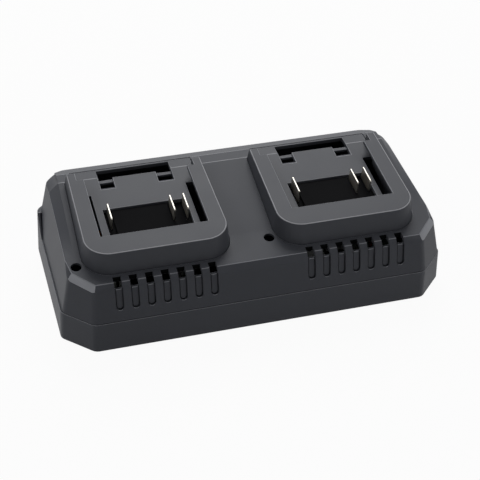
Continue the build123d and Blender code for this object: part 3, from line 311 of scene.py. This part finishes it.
# Lighter colour of the rounded edges: a painted highlight.
nylon_edge_highlight = moulded_finish("nylon_painted_highlight_on_edges", "#85878d", roughness=0.34,
                            grain_size=0.45, grain_height=0.015, colour_change=0.05)
for side in ("left", "right"):
    rounded_piece(f"{side}_dock", f"{side}_dock_moulding", dock_edge_round, dock_nylon, nylon_edge_highlight)


# ---------------------------------------------------------------- terminal blocks
# Flame-proof PBT, moulded black with a dull face, so the bright blades stand out against it. The
# blades pass through slots in it, and two screws through its ears hold it under the dock.
def finish_node(name, material):
    """Gives every material slot of a CAD node the same material."""
    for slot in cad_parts[name].material_slots:
        slot.material = material


block_edge_round = 0.15
black_pbt = moulded_finish("black_pbt", "#0b0b0d", roughness=0.65,
                           grain_size=0.8, grain_height=0.01, colour_change=0.04, shine=0.03)
for side in ("left", "right"):
    name = f"{side}_terminal_block"
    rounded_piece(name, f"{name}_moulding", block_edge_round, black_pbt, black_pbt)


# ---------------------------------------------------------------- blades
# Stamped copper strip with bright nickel plating. The edges are rounded by the stamping, and the
# flat sides keep the fine lines of the rolled strip, about 0.2 mm apart.
def plated_metal(name, colour, roughness, line_size, line_height, stretch=(1.0, 1.0, 1.0), metallic=1.0):
    """Plated metal: noise, drawn out to fine lines along the axis where stretch is small, changes the
    gloss and the bump."""
    gloss_change = 0.3
    material, tree = new_material(name)
    place = add_node(tree, "ShaderNodeTexCoord")
    stretched = add_node(tree, "ShaderNodeMapping", {"Scale": stretch}, {"Vector": place.outputs["Object"]})
    lines = add_node(tree, "ShaderNodeTexNoise", {"Scale": 1 / (line_size * millimetre), "Detail": 2.0},
                     {"Vector": stretched.outputs[0]})
    dullest, brightest = roughness * (1 + gloss_change), roughness * (1 - gloss_change)
    gloss = add_node(tree, "ShaderNodeMapRange", {3: brightest, 4: dullest}, {0: lines.outputs["Fac"]})
    bump = add_node(tree, "ShaderNodeBump", {"Strength": 0.5, "Distance": line_height * millimetre},
                    {"Height": lines.outputs["Fac"]})
    shader = add_node(tree, "ShaderNodeBsdfPrincipled", {"Base Color": linear(colour), "Metallic": metallic},
                      {"Roughness": gloss.outputs[0], "Normal": bump.outputs["Normal"]})
    add_node(tree, "ShaderNodeOutputMaterial", links={"Surface": shader.outputs[0]})
    return material


blade_edge_round = 0.2
bright_nickel = plated_metal("bright_nickel_plate", "#c4c0b7", roughness=0.4,
                             line_size=0.2, line_height=0.004, stretch=(1.0, 0.06, 1.0))
sheared_nickel = plated_metal("nickel_on_sheared_edge", "#c9c5bc", roughness=0.5,
                              line_size=0.2, line_height=0.01, metallic=0.6)
for side in ("left", "right"):
    for pole in ("negative", "signal", "positive"):
        name = f"{side}_{pole}_blade"
        rounded_piece(name, f"{name}_strip", blade_edge_round, bright_nickel, sheared_nickel)


# ---------------------------------------------------------------- status lights
# Light pipes of smoked polycarbonate, each over a clear LED. They are sunk in their holes, and
# unlit they look black and give no highlight.
def clear_plastic(name, colour, roughness, see_through, shine, flow_size, flow_height):
    """Clear plastic: part of the light goes through, faint flow waves bend its reflections."""
    material, tree = new_material(name)
    place = add_node(tree, "ShaderNodeTexCoord")
    flow = add_node(tree, "ShaderNodeTexNoise", {"Scale": 1 / (flow_size * millimetre), "Detail": 1.0},
                    {"Vector": place.outputs["Object"]})
    bump = add_node(tree, "ShaderNodeBump", {"Strength": 0.4, "Distance": flow_height * millimetre},
                    {"Height": flow.outputs["Fac"]})
    shader = add_node(tree, "ShaderNodeBsdfPrincipled",
                      {"Base Color": linear(colour), "Roughness": roughness, "IOR": 1.58,
                       "Transmission Weight": see_through, "Specular IOR Level": shine},
                      {"Normal": bump.outputs["Normal"]})
    add_node(tree, "ShaderNodeOutputMaterial", links={"Surface": shader.outputs[0]})
    return material


smoked_polycarbonate = clear_plastic("smoked_polycarbonate", "#020203", roughness=0.25,
                                     see_through=0.0, shine=0.0, flow_size=1.5, flow_height=0.02)
clear_epoxy = clear_plastic("clear_epoxy", "#e6ebe6", roughness=0.06,
                            see_through=0.8, shine=0.5, flow_size=1.0, flow_height=0.01)
for side in ("left", "right"):
    finish_node(f"{side}_light_pipe", smoked_polycarbonate)
    finish_node(f"{side}_status_led", clear_epoxy)


# ---------------------------------------------------------------- feet
# Four discs of black nitrile rubber, pressed into pockets of the underside. Matt, with dust in the
# pores of the rubber.
nitrile_rubber = moulded_finish("nitrile_rubber", "#1d1d1e", roughness=0.85,
                                grain_size=0.35, grain_height=0.04, colour_change=0.15)
finish_node("rubber_feet", nitrile_rubber)


# ---------------------------------------------------------------- screws
# Steel screws, cold headed with a hex recess, that hold the shells, the board, the docks and the
# terminal blocks. Their zinc plating is bluish and slightly cloudy.
zinc_plate = plated_metal("zinc_plated_steel", "#b9bdc4", roughness=0.38, line_size=0.5, line_height=0.006)
for name in ("housing_screws", "board_screws", "dock_screws", "block_screws"):
    finish_node(name, zinc_plate)


# ---------------------------------------------------------------- circuit board
# Glass-epoxy laminate, 1.6 mm, under green solder mask. Copper tracks show through the mask as
# lighter bands, here on a 2.5 mm pitch, the common spacing of the parts' legs.
def solder_mask(name, mask_colour, track_colour):
    """Green mask: bricks of 5 by 2.5 mm, cut off by broad noise, are the copper tracks under it."""
    material, tree = new_material(name)
    pattern_unit = 10
    track_length, track_pitch, track_gap = 5 / pattern_unit, 2.5 / pattern_unit, 0.4 / pattern_unit
    copper_height = 0.035
    patches_per_metre, bare_limit = 90.0, 0.48
    place = add_node(tree, "ShaderNodeTexCoord")
    steps = add_node(tree, "ShaderNodeTexBrick", {
        "Color1": (1, 1, 1, 1), "Color2": (1, 1, 1, 1), "Mortar": (0, 0, 0, 1),
        "Scale": 1 / (pattern_unit * millimetre),
        "Mortar Size": track_gap, "Brick Width": track_length, "Row Height": track_pitch,
    }, {"Vector": place.outputs["Object"]})
    spread = add_node(tree, "ShaderNodeTexNoise", {"Scale": patches_per_metre, "Detail": 0.0},
                      {"Vector": place.outputs["Object"]})
    kept = add_node(tree, "ShaderNodeMath", {"operation": "GREATER_THAN", 1: bare_limit},
                    {0: spread.outputs["Fac"]})
    tracks = add_node(tree, "ShaderNodeMath", {"operation": "MULTIPLY"},
                      {0: steps.outputs["Color"], 1: kept.outputs[0]})
    shade = add_node(tree, "ShaderNodeMix",
                     {"data_type": "RGBA", 6: linear(mask_colour), 7: linear(track_colour)},
                     {0: tracks.outputs[0]})
    bump = add_node(tree, "ShaderNodeBump", {"Strength": 0.5, "Distance": copper_height * millimetre},
                    {"Height": tracks.outputs[0]})
    shader = add_node(tree, "ShaderNodeBsdfPrincipled",
                      {"Roughness": 0.45, "IOR": 1.5, "Specular IOR Level": 0.25},
                      {"Base Color": shade.outputs[2], "Normal": bump.outputs["Normal"]})
    add_node(tree, "ShaderNodeOutputMaterial", links={"Surface": shader.outputs[0]})
    return material


# The mask's colour is darker than plain green mask: painted shade, for the dark inside of the housing.
finish_node("main_board", solder_mask("green_solder_mask", "#08170e", "#0d2516"))


# ---------------------------------------------------------------- transformer
# A sintered manganese-zinc ferrite core round a winding under yellow polyester tape, on a bobbin of
# black phenolic. Ferrite is matt and slightly speckled. The 9 mm tape overlaps by half, so a turn
# shows every 4.5 mm.
def banded_wrap(name, colour, band_colour, band, roughness, axis):
    """Wound tape: smooth waves along one axis give each turn its round and its shade."""
    wave_period = 0.314         # of the wave texture, in its own units
    turn_height = 0.1
    material, tree = new_material(name)
    place = add_node(tree, "ShaderNodeTexCoord")
    turns = add_node(tree, "ShaderNodeTexWave", {
        "wave_type": "BANDS", "bands_direction": axis,
        "Scale": wave_period / (band * millimetre), "Distortion": 0.15,
    }, {"Vector": place.outputs["Object"]})
    shade = add_node(tree, "ShaderNodeMix", {"data_type": "RGBA", 6: linear(band_colour), 7: linear(colour)},
                     {0: turns.outputs["Fac"]})
    bump = add_node(tree, "ShaderNodeBump", {"Strength": 0.7, "Distance": turn_height * millimetre},
                    {"Height": turns.outputs["Fac"]})
    shader = add_node(tree, "ShaderNodeBsdfPrincipled", {"Roughness": roughness, "IOR": 1.6},
                      {"Base Color": shade.outputs[2], "Normal": bump.outputs["Normal"]})
    add_node(tree, "ShaderNodeOutputMaterial", links={"Surface": shader.outputs[0]})
    return material


sintered_ferrite = moulded_finish("sintered_ferrite", "#33343a", roughness=0.7,
                                  grain_size=0.3, grain_height=0.02, colour_change=0.2)
black_phenolic = moulded_finish("black_phenolic", "#17150f", roughness=0.4,
                                grain_size=0.9, grain_height=0.01, colour_change=0.1)
polyester_tape = banded_wrap("polyester_tape", "#d9b22c", "#b8921c", band=4.5, roughness=0.3, axis="Z")
finish_node("transformer_core", sintered_ferrite)
finish_node("transformer_bobbin", black_phenolic)
finish_node("transformer_winding", polyester_tape)


# ---------------------------------------------------------------- line choke
# A ferrite ring wound with enamelled copper wire, 1.1 mm thick. The turns lie side by side round the
# outside and crowd into two layers in the bore. Each stands out as a round ridge, and the enamel is
# glossy amber.
def wound_ring(name, middle, ring_radius, coil_radius, turns, wire):
    """Ring whose section swells and shrinks round it: coil radius minus the wire's round between two turns.
    With u round the ring and v round its section, the section's radius is
    s = coil radius - wire / 2 * (1 - |cos(turns * u / 2)|), and a point lies ring radius + s * cos(v)
    from the middle and s * sin(v) above it."""
    steps_per_turn, across = 8, 32
    around = turns * steps_per_turn
    u = np.linspace(0, 2 * pi, around, endpoint=False)[:, None]
    v = np.linspace(0, 2 * pi, across, endpoint=False)[None, :]
    section = coil_radius - 0.5 * wire * (1 - np.abs(np.cos(0.5 * turns * u)))
    reach = ring_radius + section * np.cos(v)
    points = np.stack([
        middle[0] + reach * np.cos(u),
        middle[1] + reach * np.sin(u),
        middle[2] + section * np.sin(v),
    ], axis=-1).reshape(-1, 3)
    i, j = np.meshgrid(np.arange(around), np.arange(across), indexing="ij")
    next_i, next_j = (i + 1) % around, (j + 1) % across
    quads = np.stack([
        i * across + j,
        next_i * across + j,
        next_i * across + next_j,
        i * across + next_j,
    ], axis=-1)
    mesh = bpy.data.meshes.new(name)
    mesh.from_pydata(points.tolist(), [], quads.reshape(-1, 4).tolist())
    mesh.polygons.foreach_set("use_smooth", np.ones(len(mesh.polygons), dtype=bool))
    piece = bpy.data.objects.new(name, mesh)
    scene.collection.objects.link(piece)
    return piece


choke_low, choke_high = (np.array(corner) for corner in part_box("line_choke"))
choke_height = choke_high[2] - choke_low[2]
choke_turns = wound_ring(
    "line_choke_turns",
    middle=(choke_low + choke_high) / 2,
    ring_radius=(choke_high[0] - choke_low[0]) / 2 - choke_height / 2,
    coil_radius=choke_height / 2,
    turns=36,
    wire=1.1 * millimetre,
)
enamelled_copper = moulded_finish("enamelled_copper", "#a8622a", roughness=0.22,
                                  grain_size=1.0, grain_height=0.005, colour_change=0.12)
choke_turns.data.materials.append(enamelled_copper)
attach(choke_turns, "root")
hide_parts("line_choke")


# ---------------------------------------------------------------- parts on the board
# The cans of the capacitors wear glossy black sleeves of shrunk PVC. The film capacitor is cast in
# smooth yellow epoxy and the semiconductors in dull black epoxy. The fuse is a shiny tube of glazed
# ceramic with pressed end caps. All are soldered to the board.
shrunk_sleeve = moulded_finish("shrunk_pvc_sleeve", "#16171d", roughness=0.25,
                               grain_size=1.2, grain_height=0.008, colour_change=0.08)
yellow_epoxy = moulded_finish("yellow_epoxy_case", "#c79a1e", roughness=0.35,
                              grain_size=0.9, grain_height=0.01, colour_change=0.05)
glazed_ceramic = moulded_finish("glazed_ceramic", "#cfccc2", roughness=0.15,
                                grain_size=2.0, grain_height=0.004, colour_change=0.03)
moulding_compound = moulded_finish("epoxy_moulding_compound", "#1b1b1c", roughness=0.55,
                                   grain_size=0.25, grain_height=0.015, colour_change=0.08)
finish_node("bulk_capacitor", shrunk_sleeve)
finish_node("output_capacitors", shrunk_sleeve)
finish_node("film_capacitor", yellow_epoxy)
finish_node("fuse", glazed_ceramic)
for name in ("bridge_rectifier", "control_chip", "switching_transistor", "output_diode"):
    finish_node(name, moulding_compound)


# ---------------------------------------------------------------- heat sinks
# Extruded aluminium, anodised black so that it gives off more heat. The die draws fine upright
# lines in it, about 0.3 mm apart.
black_anodised = plated_metal("black_anodised_aluminium", "#1c1d20", roughness=0.45,
                              line_size=0.3, line_height=0.01, stretch=(1.0, 1.0, 0.03))
finish_node("input_heat_sink", black_anodised)
finish_node("output_heat_sink", black_anodised)


# ---------------------------------------------------------------- leads
# Stranded wire in soft PVC, red on the positive blade, black on the negative one and white on the
# signal blade. Extruded, so smooth along its length.
lead_colours = {"negative": "#161617", "signal": "#d6d4cd", "positive": "#8e1512"}
for pole, colour in lead_colours.items():
    insulation = moulded_finish(f"{pole}_pvc_insulation", colour, roughness=0.42,
                                grain_size=0.7, grain_height=0.01, colour_change=0.04)
    for side in ("left", "right"):
        finish_node(f"{side}_{pole}_lead", insulation)


# ---------------------------------------------------------------- mains inlet
# Socket of satin black polyamide for a figure-eight plug, pushed into the rear wall from inside up to
# its rim. Two brass pins with bright nickel plating are pressed into it and turn down into the board.
inlet_polyamide = moulded_finish("inlet_polyamide", "#1a1a1c", roughness=0.4,
                                 grain_size=0.5, grain_height=0.015, colour_change=0.05)
nickel_on_brass = plated_metal("nickel_plated_brass", "#d9d3c2", roughness=0.22,
                               line_size=0.3, line_height=0.004, stretch=(1.0, 0.1, 1.0))
finish_node("mains_inlet", inlet_polyamide)
finish_node("inlet_pins", nickel_on_brass)
